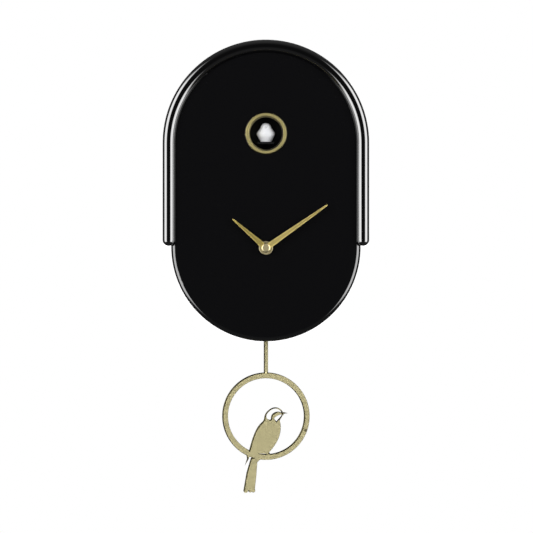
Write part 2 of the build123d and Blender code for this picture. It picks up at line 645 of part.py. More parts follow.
def swing_arm():
    """Lever on the pivot pin: it carries the magnet and, at its foot, the rod's socket."""
    arm = disc(4.0, -39.5, -33.0, 0, PIVOT_Z)
    arm += block(-3.0, 3.0, -38.5, -33.5, -222, PIVOT_Z)
    arm += disc(MAGNET_R + 1.2, -38.5, -33.5, 0, MAGNET_Z)
    arm += Pos(0, PENDULUM_Y, -229) * Cylinder(3.4, 16)
    arm -= disc(1.0 + PIN_PLAY, -45, -25, 0, PIVOT_Z)
    arm -= Pos(0, PENDULUM_Y, ROD_TOP_Z - 10) * Box(ROD_W + 0.1, ROD_T + 0.1, 20)
    return arm - disc(MAGNET_R, -35.0, -30, 0, MAGNET_Z)


def swing_magnet():
    return disc(MAGNET_R, -35.0, -32.6, 0, MAGNET_Z)


def pendulum_rod():
    """Flat bar with a broad bevel on its front left edge, and a stud that enters the ring."""
    stud_top = RING_CENTRE_Z + BOB_R
    side, front, back = ROD_W / 2, PENDULUM_Y - ROD_T / 2, PENDULUM_Y + ROD_T / 2
    section = Polygon((-side, back), (-side, front + 1.8), (-side + 1.1, front), (side - 0.3, front),
                      (side, front + 0.6), (side, back), align=None)
    rod = extrude(Plane((0, 0, stud_top)) * section, ROD_TOP_Z - stud_top)
    return rod + Pos(0, PENDULUM_Y, stud_top - 1.4) * Cylinder(0.9, 2.8)


def bird_outline():
    """A bird in profile, facing right, about the ring's centre; its feet run into the ring."""
    back = Spline((-17.6, -36.5), (-14.9, -27.0), (-9.6, -13.2), (-5.4, -7.3), (-2.4, -4.0), (-1.4, 0.2),
                  (2.1, 5.6), (9.4, 8.95), (14.6, 7.1), (17.2, 4.0))
    beak = Polyline((17.2, 4.0), (19.5, 3.8), (22.0, 2.8), (19.4, 2.7), (17.2, 1.8))
    throat = Spline((17.2, 1.8), (15.5, -1.7), (13.9, -4.0))
    chest = Spline((13.9, -4.0), (14.9, -10.2), (13.0, -21.6), (9.5, -28.4), (1.8, -38.0))
    foot = Line((1.8, -38.0), (-17.6, -36.5))
    return make_face([back, beak, throat, chest, foot])


def bird_cuts():
    crescent = Spline((1.5, -2.8), (0.5, -0.6), (3.2, 4.6), (9.0, 7.5), (13.6, 6.2), (15.7, 3.4))
    crescent_in = Spline((15.7, 3.4), (11.5, 4.6), (7.1, 2.8), (5.2, -0.4), (5.0, -2.7), (1.5, -2.8))
    cheek = Spline((16.2, 1.7), (11.5, 0.4), (8.2, -2.3))
    cheek_in = Polyline((8.2, -2.3), (10.4, -5.1), (13.8, -1.4), (16.2, 1.7))
    return make_face([crescent, crescent_in]) + make_face([cheek, cheek_in])


def tail_outline():
    """Long tail below the ring, with a scalloped end."""
    sides = Polyline((-19.5, -56.5), (-15.0, -41.5), (-3.6, -42.5), (-6.8, -44.4), (-8.6, -46.4),
                     (-9.6, -60.0), (-11.2, -74.6), (-22.6, -74.6), (-19.5, -56.5))
    tail = make_face(sides)
    for x in (-20.2, -15.7, -12.6):
        tail += Pos(x, -74.6) * Circle(2.4 if x < -20 else 2.0)
    return tail - Pos(-17.9, -43.9) * Circle(0.6)


def wing_tip():
    points = [(-19.6, -39.0), (-19.0, -42.6), (-21.2, -49.8), (-17.2, -43.0), (-16.0, -39.0)]
    return Polygon(*points, align=None)


def pendulum_bob():
    ring = Circle(BOB_R) - Circle(BOB_INNER_R)
    outline = ring + (bird_outline() - bird_cuts()) + tail_outline() + wing_tip()
    back = PENDULUM_Y + BOB_T / 2
    bob = slab(outline, back - BOB_T, back, 0, RING_CENTRE_Z)
    socket = Pos(0, PENDULUM_Y, RING_CENTRE_Z + BOB_R - 1.4) * Cylinder(0.95, 3.0)
    return bob - socket


# ---- sound unit ---------------------------------------------------------------------------------------
def battery_box():
    wall = 1.2
    body = block(BOX_X[0], BOX_X[1], BOX_FRONT, -COVER_T, BOX_Z[0], BOX_Z[1])
    body -= block(BOX_X[0] + wall, BOX_X[1] - wall, BOX_FRONT + wall, 1, BOX_Z[0] + wall, BOX_Z[1] - wall)
    return body


def cuckoo_batteries():
    cells = []
    for row, z in enumerate(CELL_ROWS):
        cell = barrel(CELL_R, CELL_X[0], CELL_X[1] - 1, CELL_ROW_Y, z)
        cell += barrel(2.7, CELL_X[1] - 1, CELL_X[1], CELL_ROW_Y, z)
        middle = (CELL_X[0] + CELL_X[1]) / 2
        turned = Pos(middle, 0, 0) * mirror(Pos(-middle, 0, 0) * cell, Plane.YZ)
        cells.append(turned if row else cell)
    return group(*cells)


def battery_contacts():
    parts = []
    for x0, x1 in ((BOX_X[0] + 1.2, CELL_X[0]), (CELL_X[1], BOX_X[1] - 1.2)):
        for z in CELL_ROWS:
            plate_x = (x0, x0 + 0.5) if x0 < 50 else (x1 - 0.5, x1)
            plate = block(plate_x[0], plate_x[1], CELL_ROW_Y - 5, CELL_ROW_Y + 5, z - 5, z + 5)
            parts.append(plate + barrel(2.2, x0, x1, CELL_ROW_Y, z))
    return group(*parts)


def battery_door():
    door_z = (BOX_Z[0] + 1.7, BOX_Z[1] - 1.7)
    back = DOOR_HINGE_Y + DOOR_T / 2
    door = block(DOOR_HINGE_X, BOX_X[1] - 1.0, back - DOOR_T, back, door_z[0], door_z[1])
    middle = (door_z[0] + door_z[1]) / 2
    door += Pos(DOOR_HINGE_X, DOOR_HINGE_Y, middle) * Cylinder(DOOR_T / 2, door_z[1] - door_z[0])
    door += Pos(DOOR_HINGE_X, DOOR_HINGE_Y, middle) * Cylinder(0.6, door_z[1] - door_z[0] + 3)
    finger_notch = disc(5, back - 0.6, back + 1, BOX_X[1] - 1.0, middle)
    return door - finger_notch


def speaker_frame():
    x, z = SPEAKER_AT
    rim = tube(SPEAKER_R, SPEAKER_R - 2.5, -5.0, -COVER_T, x, z)
    profile = Polyline((SPEAKER_R - 3.3, -5.0), (SPEAKER_R - 0.8, -5.0), (11.0, -12.5), (9.0, -12.5),
                       (SPEAKER_R - 3.3, -5.0))
    basket = revolve(Plane.XY * make_face(profile), Axis.Y, 360)
    magnet = disc(11.0, -17.5, -12.4)
    return rim + at(x, z, basket + magnet)


def speaker_cone():
    x, z = SPEAKER_AT
    profile = Polyline((16.0, -4.4), (17.3, -4.4), (17.3, -4.8), (16.2, -4.8), (7.6, -12.3), (0, -12.3),
                       (0, -11.8), (7.2, -11.8), (16.0, -4.4))
    return at(x, z, revolve(Plane.XY * make_face(profile), Axis.Y, 360))


def board_posts():
    dx, dz = BOARD_W / 2 - 3.5, BOARD_H / 2 - 3.5
    return [(BOARD_AT[0] + sx * dx, BOARD_AT[1] + sz * dz) for sx in (-1, 1) for sz in (-1, 1)]


def board_tray():
    """Tray bonded to the inside of the back cover, with four posts for the sound board."""
    front = -COVER_T - TRAY_T
    outline = RectangleRounded(BOARD_W, BOARD_H, 2) - RectangleRounded(*SWITCH_SLOT, 1.0)
    tray = slab(outline, front, -COVER_T, BOARD_AT[0], BOARD_AT[1])
    for x, z in board_posts():
        tray += disc(2.6, BOARD_FRONT + BOARD_T, front + 0.1, x, z)
        tray -= disc(1.0, BOARD_FRONT + BOARD_T, front - 0.3, x, z)
    return tray


def sound_circuit_board():
    x, z = BOARD_AT
    board = slab(Rectangle(BOARD_W, BOARD_H), BOARD_FRONT, BOARD_FRONT + BOARD_T, x, z)
    for px, pz in board_posts():
        board -= disc(1.2, BOARD_FRONT - 1, BOARD_FRONT + BOARD_T + 1, px, pz)
    board += block(x - 6, x + 6, BOARD_FRONT - 2, BOARD_FRONT + 0.1, z - 4, z + 4)
    for k in range(2):
        board += disc(2.5, BOARD_FRONT - 6, BOARD_FRONT + 0.1, x + 11 + 0.1 * k, z - 5 + 10 * k)
    return board


def board_screws():
    parts = []
    for x, z in board_posts():
        head = disc(2.0, BOARD_FRONT - 1.2, BOARD_FRONT, x, z)
        parts.append(head + disc(1.0, BOARD_FRONT, -4.5, x, z))
    return group(*parts)


def switch_body():
    x, z = BOARD_AT
    return block(x - 7, x + 7, BOARD_FRONT + BOARD_T, -4.0, z - 3, z + 3)


def switch_knob():
    x, z = BOARD_AT
    knob = block(x - 4.0, x, -3.9, -0.5, z - 1.7, z + 1.7)
    return fillet(back_edges(knob), 0.4)


NODES = [
    case_shell, hood, hood_screws, back_cover, back_cover_screws,
    porthole_ring, porthole_tunnel, cuckoo_chassis, chassis_screws, gear_pins, cuckoo_motor,
    motor_pinion, reduction_gear, rack_pinion_gear, bird_carriage, bird,
    movement_base, movement_cover, movement_arbors, rotor, intermediate_wheel, seconds_wheel,
    third_wheel, centre_wheel, cannon_pinion, minute_wheel, hour_wheel, setting_knob, stator,
    stepper_coil, movement_battery, movement_contacts, movement_circuit_board, quartz_crystal,
    rubber_washer, fixing_nut, hour_hand, minute_hand, hand_cap,
    pendulum_cover, pendulum_housing, pendulum_screws, pendulum_pivot_pin, pendulum_coil,
    pendulum_circuit_board, swing_arm, swing_magnet, pendulum_rod, pendulum_bob,
    battery_box, cuckoo_batteries, battery_contacts, battery_door, speaker_frame, speaker_cone,
    board_tray, sound_circuit_board, board_screws, switch_body, switch_knob,
]

os.makedirs("parts", exist_ok=True)
for make in NODES:
    export_step(make(), f"parts/{make.__name__}.step")
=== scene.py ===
"""Looks of a pendulum wall clock with a bird in a round porthole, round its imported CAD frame."""
import math

import bmesh
import bpy
from mathutils import Matrix, Vector, noise


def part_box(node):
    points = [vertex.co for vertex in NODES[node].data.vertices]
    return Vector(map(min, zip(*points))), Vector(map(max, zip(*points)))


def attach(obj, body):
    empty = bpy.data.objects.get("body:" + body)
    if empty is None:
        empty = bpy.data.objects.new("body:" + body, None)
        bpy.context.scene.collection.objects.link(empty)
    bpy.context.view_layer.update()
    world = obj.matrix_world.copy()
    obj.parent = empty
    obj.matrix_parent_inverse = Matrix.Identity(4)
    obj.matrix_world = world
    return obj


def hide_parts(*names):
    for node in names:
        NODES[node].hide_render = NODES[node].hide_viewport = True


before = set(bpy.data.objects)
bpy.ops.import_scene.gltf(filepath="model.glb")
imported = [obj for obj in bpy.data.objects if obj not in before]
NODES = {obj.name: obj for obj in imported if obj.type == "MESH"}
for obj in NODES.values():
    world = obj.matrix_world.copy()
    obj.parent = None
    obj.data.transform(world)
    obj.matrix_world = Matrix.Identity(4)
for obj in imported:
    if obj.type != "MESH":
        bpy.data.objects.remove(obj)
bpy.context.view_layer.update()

MM = 0.001

# ---- places taken from the frame ---------------------------------------------------------------


def centre(node):
    low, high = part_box(node)
    return (Vector(low) + Vector(high)) / 2


HUB = centre("fixing_nut")
PORT = centre("porthole_ring")
BOB = centre("pendulum_bob")
# the upper left, where painted shade falls on the bob's and bezel's cut edges
UPPER_LEFT = (-0.86, 0.5)  # the (x, z) direction that the bob's and bezel's darkest edges face

# ---- mesh helpers ------------------------------------------------------------------------------


def linked(name, data):
    """A new object in the scene that holds data."""
    obj = bpy.data.objects.new(name, data)
    bpy.context.scene.collection.objects.link(obj)
    return obj


def evaluated(holder):
    """What a holder's curve or modifiers give, as a bmesh; the holder is removed."""
    bpy.context.view_layer.update()
    depsgraph = bpy.context.evaluated_depsgraph_get()
    mesh = bpy.data.meshes.new_from_object(holder.evaluated_get(depsgraph))
    bpy.data.objects.remove(holder)
    bm = bmesh.new()
    bm.from_mesh(mesh)
    bpy.data.meshes.remove(mesh)
    return bm


def bridge(bm, one, two):
    """Quads between two closed rings of as many vertices."""
    for i in range(len(one)):
        j = (i + 1) % len(one)
        bm.faces.new((one[i], one[j], two[j], two[i]))


def finish_mesh(name, bm, body, material, sharp=35.0):
    """Turns a bmesh into a piece that rides a body, smooth apart from edges over sharp degrees."""
    bmesh.ops.remove_doubles(bm, verts=bm.verts, dist=1e-7)
    bmesh.ops.recalc_face_normals(bm, faces=bm.faces)
    for face in bm.faces:
        face.smooth = True
    limit = math.radians(sharp)
    for edge in bm.edges:
        if len(edge.link_faces) == 2 and edge.calc_face_angle(0.0) > limit:
            edge.smooth = False
    mesh = bpy.data.meshes.new(name)
    bm.to_mesh(mesh)
    bm.free()
    obj = linked(name, mesh)
    mesh.materials.append(material)
    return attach(obj, body)


def rounded(points, radii, steps=6):
    """A closed polygon with each corner rounded to its own radius."""
    out = []
    count = len(points)
    for i, radius in enumerate(radii):
        here = Vector(points[i])
        before = (Vector(points[i - 1]) - here).normalized()
        after = (Vector(points[(i + 1) % count]) - here).normalized()
        if radius <= 0:
            out.append(tuple(here))
            continue
        half = before.angle(after) / 2
        reach = radius / math.tan(half)
        middle = here + (before + after).normalized() * radius / math.sin(half)
        start = here + before * reach - middle
        end = here + after * reach - middle
        turn = start.angle_signed(end)
        for k in range(steps + 1):
            angle = -turn * k / steps
            c, s = math.cos(angle), math.sin(angle)
            out.append((middle.x + start.x * c - start.y * s, middle.y + start.x * s + start.y * c))
    return out


def lathe(bm, profile, x, z, steps=192):
    """A closed profile of (radius, y) points turned about an axis along Y through (x, z)."""
    rings = []
    for k in range(steps):
        a = 2 * math.pi * k / steps
        c, s = math.cos(a), math.sin(a)
        rings.append([bm.verts.new((x + r * c, y, z + r * s)) for r, y in profile])
    for k in range(steps):
        bridge(bm, rings[k], rings[(k + 1) % steps])


def plate(loops, front, back, bevel):
    """A flat plate between two depths with rounded edges, filled between its (x, z) loops."""
    curve = bpy.data.curves.new("plate", "CURVE")
    curve.dimensions = "2D"
    curve.fill_mode = "BOTH"
    curve.extrude = (back - front) / 2 - bevel
    curve.bevel_depth = bevel
    curve.bevel_resolution = 3
    curve.offset = -bevel
    for loop in loops:
        spline = curve.splines.new("POLY")
        spline.points.add(len(loop) - 1)
        for point, (x, z) in zip(spline.points, loop):
            point.co = (x, z, 0, 1)
        spline.use_cyclic_u = True
    bm = evaluated(linked("plate", curve))
    bpy.data.curves.remove(curve)
    upright = Matrix.Rotation(math.pi / 2, 4, "X")
    bm.transform(Matrix.Translation((0, (front + back) / 2, 0)) @ upright)
    return bm


def inset(loop, distance, extra, passes=60, mitre=0.4):
    """The loop moved into the material on its left, with what would cross itself drawn together.

    Where its outside faces the upper left it moves in by up to extra more. A sharp corner moves
    by 1 / mitre times the distance at most.
    """
    shade = Vector(UPPER_LEFT)
    count = len(loop)
    points = [Vector(p) for p in loop]
    out = []
    for i, here in enumerate(points):
        a = (here - points[i - 1]).normalized()
        b = (points[(i + 1) % count] - here).normalized()
        left = Vector((-a.y, a.x))
        normal = Vector((-a.y - b.y, a.x + b.x))
        normal = normal.normalized() if normal.length > 1e-6 else left
        move = distance + extra * max(-normal.dot(shade), 0)
        out.append(here + normal * move / max(normal.dot(left), mitre))
    for _ in range(passes):
        for i in range(count):
            j = (i + 1) % count
            if (out[j] - out[i]).dot(points[j] - points[i]) < 0:
                out[i] = out[j] = (out[i] + out[j]) / 2
    return [tuple(p) for p in out]


def cut_plate(loops, front, back, slope_in, slope_back, extra):
    """A flat plate with its front edges cut back by slope_in and slope_back, filled between loops.

    The extra goes to inset, so the edges that face the upper left are cut wider.
    """
    bm = bmesh.new()
    rims = {front: [], back: []}
    for loop in loops:
        top = inset(loop, slope_in, extra)
        levels = [(top, front), (loop, front + slope_back), (loop, back)]
        rings = [[bm.verts.new((x, y, z)) for x, z in points] for points, y in levels]
        for one, two in zip(rings, rings[1:]):
            bridge(bm, one, two)
        rims[front].append(rings[0])
        rims[back].append(rings[-1])
    for rim in rims.values():
        edges = [bm.edges.get((ring[i], ring[i - 1])) for ring in rim for i in range(len(ring))]
        edges = [edge for edge in edges if edge]
        bmesh.ops.triangle_fill(bm, use_beauty=True, use_dissolve=False, edges=edges)
    bmesh.ops.remove_doubles(bm, verts=bm.verts, dist=2e-6)
    return bm


def outline(node):
    """The closed (x, z) loops round a CAD node's flat front."""
    mesh = NODES[node].data
    front = min(v.co.y for v in mesh.vertices)

    def key(index):
        co = mesh.vertices[index].co
        return round(co.x, 7), round(co.z, 7)

    uses = {}
    for face in mesh.polygons:
        if all(mesh.vertices[i].co.y < front + 1e-5 for i in face.vertices):
            ring = [key(i) for i in face.vertices]
            for a, b in zip(ring, ring[1:] + ring[:1]):
                uses[(a, b)] = uses.get((a, b), 0) + 1
    follow = {a: b for a, b in uses if (b, a) not in uses}
    loops = []
    while follow:
        start, here = next(iter(follow.items()))
        del follow[start]
        loop = [start]
        while here != start:
            loop.append(here)
            here = follow.pop(here)
        loops.append(loop)
    return loops


# ---- material helpers --------------------------------------------------------------------------


class Nodes:
    """Shader nodes added to a tree; a value may be a number or another node's output."""

    def __init__(self, tree):
        self.tree = tree

    def add(self, kind, **settings):
        node = self.tree.nodes.new(kind)
        for setting, value in settings.items():
            setattr(node, setting, value)
        return node

    def feed(self, socket, value):
        if isinstance(value, bpy.types.NodeSocket):
            self.tree.links.new(value, socket)
        else:
            socket.default_value = value

    def math(self, operation, a, b=0.0, c=0.0):
        node = self.add("ShaderNodeMath", operation=operation)
        for socket, value in zip(node.inputs, (a, b, c)):
            self.feed(socket, value)
        return node.outputs[0]

    def spread(self, value, low, high, to_low=0.0, to_high=1.0):
        """The value's place between low and high, smoothly taken to between to_low and to_high."""
        node = self.add("ShaderNodeMapRange", interpolation_type="SMOOTHSTEP")
        for socket, item in zip(node.inputs, (value, low, high, to_low, to_high)):
            self.feed(socket, item)
        return node.outputs[0]

    def split(self, vector):
        """The x, y and z of a vector."""
        node = self.add("ShaderNodeSeparateXYZ")
        self.feed(node.inputs[0], vector)
        return node.outputs


class Finish(Nodes):
    """A procedural material: one Principled shader, with chains of nodes that feed its sockets."""

    def __init__(self, name, colour, rough, metallic=0.0, **more):
        self.material = bpy.data.materials.new(name)
        self.material.use_nodes = True
        super().__init__(self.material.node_tree)
        self.shader = self.tree.nodes["Principled BSDF"]
        self.shader.inputs["Base Color"].default_value = (*colour, 1)
        self.shader.inputs["Roughness"].default_value = rough
        self.shader.inputs["Metallic"].default_value = metallic
        for socket, value in more.items():
            self.shader.inputs[socket.replace("_", " ")].default_value = value
        self.height = None
        self.place = self.add("ShaderNodeTexCoord").outputs["Object"]

    def noise(self, scale, detail=3.0, stretch=None, turn=None, vector=None):
        """Noise from 0 to 1; scale is in repeats a metre, and stretch divides it on each axis."""
        place = vector or self.place
        if turn or stretch:
            mapping = self.add("ShaderNodeMapping")
            self.feed(mapping.inputs["Vector"], place)
            mapping.inputs["Rotation"].default_value = turn or (0, 0, 0)
            mapping.inputs["Scale"].default_value = tuple(1 / s for s in (stretch or (1, 1, 1)))
            place = mapping.outputs[0]
        node = self.add("ShaderNodeTexNoise")
        self.feed(node.inputs["Vector"], place)
        node.inputs["Scale"].default_value = scale
        node.inputs["Detail"].default_value = detail
        return node.outputs["Fac"]

    def radius(self, x, z):
        """Distance from an axis along Y through (x, z)."""
        parts = self.split(self.place)
        dx = self.math("SUBTRACT", parts[0], x)
        dz = self.math("SUBTRACT", parts[2], z)
        squares = [self.math("MULTIPLY", side, side) for side in (dx, dz)]
        return self.math("SQRT", self.math("ADD", *squares))

    def edges(self, dull, dark):
        """Duller on faces cut along the front-to-back direction, as cut edges are; darkest, a
        painted shade, where they face the upper left.
        """
        x, y, z = self.split(self.add("ShaderNodeNewGeometry").outputs["Normal"])
        across, up = UPPER_LEFT
        edge = self.spread(self.math("ABSOLUTE", y), 0.6, 0.9, 1, 0)
        left = self.math("ADD", self.math("MULTIPLY", x, across), self.math("MULTIPLY", z, up))
        # cut edges take a duller colour of their own, then painted shade where they face the upper
        # left
        self.tint(self.math("MULTIPLY", edge, 0.7), dull)
        self.tint(self.math("MULTIPLY", edge, self.spread(left, -0.2, 0.6)), dark)

    def tint(self, factor, other):
        """Mixes the base colour so far with another by a factor."""
        mix = self.add("ShaderNodeMix", data_type="RGBA")
        first, second, result = mix.inputs[6], mix.inputs[7], mix.outputs[2]  # its colour sockets
        self.feed(mix.inputs["Factor"], factor)
        base = self.shader.inputs["Base Color"]
        self.feed(first, base.links[0].from_socket if base.is_linked else base.default_value)
        second.default_value = (*other, 1)
        self.feed(base, result)

    def vary_rough(self, factor, low, high):
        """Roughness from low to high as a noise goes through its usual range."""
        self.feed(self.shader.inputs["Roughness"], self.spread(factor, 0.3, 0.7, low, high))

    def bump(self, height, depth):
        """Adds to the surface's relief: height 0 to 1, depth in metres."""
        scaled = self.math("MULTIPLY", height, depth)
        self.height = scaled if self.height is None else self.math("ADD", self.height, scaled)

    def done(self):
        if self.height is not None:
            node = self.add("ShaderNodeBump")
            node.inputs["Strength"].default_value = 1.0
            node.inputs["Distance"].default_value = 1.0
            self.feed(node.inputs["Height"], self.height)
            self.feed(self.shader.inputs["Normal"], node.outputs[0])
        return self.material


def gloss_black(name, tone, lacquer):
    """Black gloss plastic; lacquer is the weight of its clear coat."""
    f = Finish(name, (tone, tone, tone * 1.15), 0.04, Coat_Weight=lacquer, Coat_Roughness=0.025)
    f.vary_rough(f.noise(45, 4), 0.03, 0.06)
    f.bump(f.noise(320, 2), 2.2e-6)
    f.bump(f.noise(60, 2), 6e-6)
    return f.done()


def moulded_black(name, tone, rough, grain=0.00002, **more):
    """Black plastic with a moulded grain, whose depth is in metres."""
    f = Finish(name, (tone, tone, tone * 1.06), rough, **more)
    f.vary_rough(f.noise(120, 5), rough - 0.07, rough + 0.09)
    f.tint(f.spread(f.noise(35, 4), 0.4, 0.75), (tone * 1.25, tone * 1.25, tone * 1.3))
    f.bump(f.noise(2600, 3), grain)
    return f.done()


def turned_metal(name, colour, darker, rough, x, z, shaded_walls=None):
    """Metal turned on a lathe round (x, z), with fine rings; its sides are darkened to the walls
    colour, a painted shade that is deepest where they face the upper left.
    """
    f = Finish(name, colour, rough, 1.0)
    ring = f.add("ShaderNodeCombineXYZ")
    f.feed(ring.inputs[0], f.radius(x, z))
    rings = f.noise(5200, 2, vector=ring.outputs[0])
    f.tint(f.spread(f.noise(90, 2), 0.4, 0.8, 0, 0.3), darker)
    # painted shade: the sides darkened to the walls colour, most towards the upper left
    if shaded_walls:
        f.edges(shaded_walls, shaded_walls)
    f.vary_rough(rings, rough - 0.03, rough + 0.04)
    f.bump(rings, 4e-6)
    return f.done()


def brushed_metal(name, colour, darker, rough, angle=0.0, depth=8e-6):
    """Metal brushed along a direction in the front view, in radians clockwise from upright.

    It gets darker away from the clock's hub, a painted shade.
    """
    f = Finish(name, colour, rough, 1.0)
    grain = f.noise(4200, 3, stretch=(1, 1, 45), turn=(0, angle, 0))
    cloud = f.noise(70, 4)
    f.tint(f.spread(grain, 0.35, 0.75, 0, 0.35), darker)
    f.tint(f.spread(cloud, 0.5, 0.8, 0, 0.3), darker)
    # painted shade: darker with distance from the hub
    f.tint(f.spread(f.radius(HUB.x, HUB.z), 22 * MM, 70 * MM, 0, 0.8), [0.9 * c for c in darker])
    f.vary_rough(grain, rough - 0.05, rough + 0.08)
    f.bump(grain, depth)
    return f.done()


# painted dark reflections on the bob: x and z from its middle, and radius, in mm
PAINTED_REFLECTIONS = ((40.2, 2.3, 2.2), (-42.5, 26.8, 1.6), (24.5, -20.2, 1.4))


def satin_brass():
    """The pendulum's pale plate, with darker cut edges, painted shade on those that face the upper
    left and a few painted dark reflections.
    """
    f = Finish("satin_brass", (0.63, 0.57, 0.32), 0.44, 1.0)
    f.tint(f.spread(f.noise(25, 3), 0.4, 0.8, 0, 0.3), (0.53, 0.47, 0.25))
    f.tint(f.spread(f.noise(900, 3, stretch=(1, 1, 12)), 0.55, 0.8, 0, 0.3), (0.47, 0.41, 0.22))
    # painted reflections: ragged dark spots tinted into the plate's colour
    for x, z, size in PAINTED_REFLECTIONS:
        ragged = f.math("MULTIPLY", f.noise(420, 3), 3.2 * MM)
        spot = f.math("ADD", f.radius(BOB.x + x * MM, BOB.z + z * MM), ragged)
        f.tint(f.spread(spot, (size + 0.6) * MM, (size + 1.8) * MM, 0.75, 0), (0.07, 0.055, 0.03))
    # cut edges in a duller colour of their own, then painted shade where they face the upper left
    f.edges((0.16, 0.14, 0.075), (0.05, 0.044, 0.02))
    f.vary_rough(f.noise(600, 3), 0.42, 0.47)
    f.bump(f.noise(3000, 3), 5e-6)
    return f.done()


def bright_steel(name, tone, rough):
    f = Finish(name, (tone, tone, tone * 1.01), rough, 1.0)
    f.tint(f.spread(f.noise(900, 4), 0.5, 0.8, 0, 0.5), (tone * 0.6, tone * 0.58, tone * 0.55))
    f.vary_rough(f.noise(1500, 3), rough - 0.06, rough + 0.12)
    f.bump(f.noise(5000, 2), 4e-6)
    return f.done()


def bird_white():
    f = Finish("bird_white", (0.68, 0.69, 0.71), 0.45)
    f.tint(f.spread(f.noise(260, 4), 0.45, 0.8, 0, 0.5), (0.60, 0.61, 0.63))
    f.vary_rough(f.noise(500, 3), 0.38, 0.52)
    f.bump(f.noise(2400, 3), 1.2e-5)
    return f.done()


def acetal_white():
    f = Finish("acetal_white", (0.80, 0.80, 0.76), 0.42,
               Subsurface_Weight=0.15, Subsurface_Scale=0.001)
    f.vary_rough(f.noise(700, 3), 0.36, 0.5)
    f.bump(f.noise(3500, 2), 6e-6)
    return f.done()


def copper_winding(name, pitch, axis):
    """Fine enamelled wire laid turn by turn, with painted shade in the grooves between turns; axis
    (0 to 2) is the direction across the turns.
    """
    f = Finish(name, (0.50, 0.21, 0.09), 0.28, 1.0)
    wire = f.math("FRACT", f.math("DIVIDE", f.split(f.place)[axis], pitch))
    dome = f.math("SINE", f.math("MULTIPLY", wire, math.pi))
    # painted shade in the grooves between the turns
    f.tint(f.spread(dome, 0.0, 0.5, 0.8, 0.0), (0.12, 0.04, 0.02))
    f.bump(dome, pitch * 0.4)
    return f.done()


def circuit_board():
    f = Finish("circuit_board", (0.015, 0.13, 0.055), 0.3)
    brick = f.add("ShaderNodeTexBrick")
    f.feed(brick.inputs["Vector"], f.place)
    brick.inputs["Scale"].default_value = 260
    brick.inputs["Mortar Size"].default_value = 0.04
    f.tint(f.math("MULTIPLY", brick.outputs["Fac"], 0.7), (0.03, 0.24, 0.10))
    f.bump(brick.outputs["Fac"], 3e-5)
    f.vary_rough(f.noise(800, 3), 0.26, 0.4)
    return f.done()


def cell_sleeve(name, low, high):
    """A dry cell from x = low to high: a plain dark sleeve with a band, between bare steel ends."""
    f = Finish(name, (0.035, 0.04, 0.05), 0.28, Coat_Weight=0.6, Coat_Roughness=0.1)
    x = f.split(f.place)[0]
    left = f.spread(x, low + 0.8 * MM, low + 1.0 * MM, 1, 0)
    right = f.spread(x, high - 2.2 * MM, high - 2.0 * MM)
    bare = f.math("MAXIMUM", left, right)
    band = f.spread(x, high - 14.1 * MM, high - 14.0 * MM)
    f.tint(f.math("MULTIPLY", band, 0.9), (0.50, 0.33, 0.10))
    f.tint(bare, (0.62, 0.62, 0.62))
    f.feed(f.shader.inputs["Metallic"], bare)
    f.vary_rough(f.noise(300, 3), 0.24, 0.36)
    f.bump(f.noise(900, 2), 8e-6)
    return f.done()


def matt(name, colour, rough, scale, depth):
    """A plain matt finish, with a grain of scale repeats a metre and depth metres."""
    f = Finish(name, colour, rough)
    f.tint(f.spread(f.noise(scale / 3, 4), 0.4, 0.8, 0, 0.6), tuple(c * 1.6 for c in colour))
    f.vary_rough(f.noise(scale / 2, 3), rough - 0.08, rough + 0.08)
    f.bump(f.noise(scale, 4), depth)
    return f.done()


HOOD_BLACK = gloss_black("hood_gloss_black", 0.0011, 1.0)
CASE_BLACK = gloss_black("case_gloss_black", 0.0028, 0.1)
INNER = moulded_black("inner_black", 0.004, 0.5)
PERCH = moulded_black("perch_black", 0.002, 0.7, 0.00003, Specular_IOR_Level=0.12)
COVER = moulded_black("cover_black", 0.022, 0.58, 0.00006)
MOVEMENT = moulded_black("movement_black", 0.026, 0.42)
# the walls colour is painted shade on the ring's sides
RING_GOLD = turned_metal("ring_gold", (0.66, 0.57, 0.245), (0.50, 0.42, 0.16), 0.38,
                         PORT.x, PORT.z, shaded_walls=(0.05, 0.042, 0.024))
HUB_GOLD = turned_metal("hub_gold", (0.40, 0.345, 0.20), (0.24, 0.21, 0.11), 0.46, HUB.x, HUB.z)
BRASS = satin_brass()
STEEL = bright_steel("zinc_steel", 0.62, 0.30)
NICKEL = bright_steel("nickel", 0.56, 0.24)
WHITE = bird_white()
ACETAL = acetal_white()
BOARD = circuit_board()
MAGNET = matt("sintered_magnet", (0.10, 0.10, 0.105), 0.5, 2600, 2e-5)
RUBBER = matt("rubber", (0.012, 0.012, 0.012), 0.75, 1800, 2e-5)
PAPER = matt("speaker_paper", (0.02, 0.02, 0.02), 0.85, 3200, 5e-5)


def paint(material, *nodes):
    for node in nodes:
        materials = NODES[node].data.materials
        for i in range(len(materials)):
            materials[i] = material


paint(HOOD_BLACK, "hood")
paint(CASE_BLACK, "case_shell")
paint(INNER, "porthole_tunnel", "cuckoo_chassis", "swing_arm", "battery_box", "board_tray")
paint(PERCH, "bird_carriage")
paint(COVER, "back_cover", "battery_door")
paint(MOVEMENT, "movement_base", "movement_cover", "setting_knob", "pendulum_cover",
      "pendulum_housing", "switch_body", "switch_knob")
paint(HUB_GOLD, "fixing_nut", "hand_cap")
paint(BRASS, "pendulum_rod")
paint(STEEL, "hood_screws", "back_cover_screws", "chassis_screws", "gear_pins",
      "movement_arbors", "stator", "movement_contacts", "pendulum_screws", "pendulum_pivot_pin",
      "battery_contacts", "board_screws")
paint(NICKEL, "cuckoo_motor", "quartz_crystal", "speaker_frame")
paint(ACETAL, "motor_pinion", "reduction_gear", "rack_pinion_gear", "intermediate_wheel",
      "seconds_wheel", "third_wheel", "centre_wheel", "cannon_pinion", "minute_wheel", "hour_wheel")
paint(BOARD, "movement_circuit_board", "pendulum_circuit_board", "sound_circuit_board")
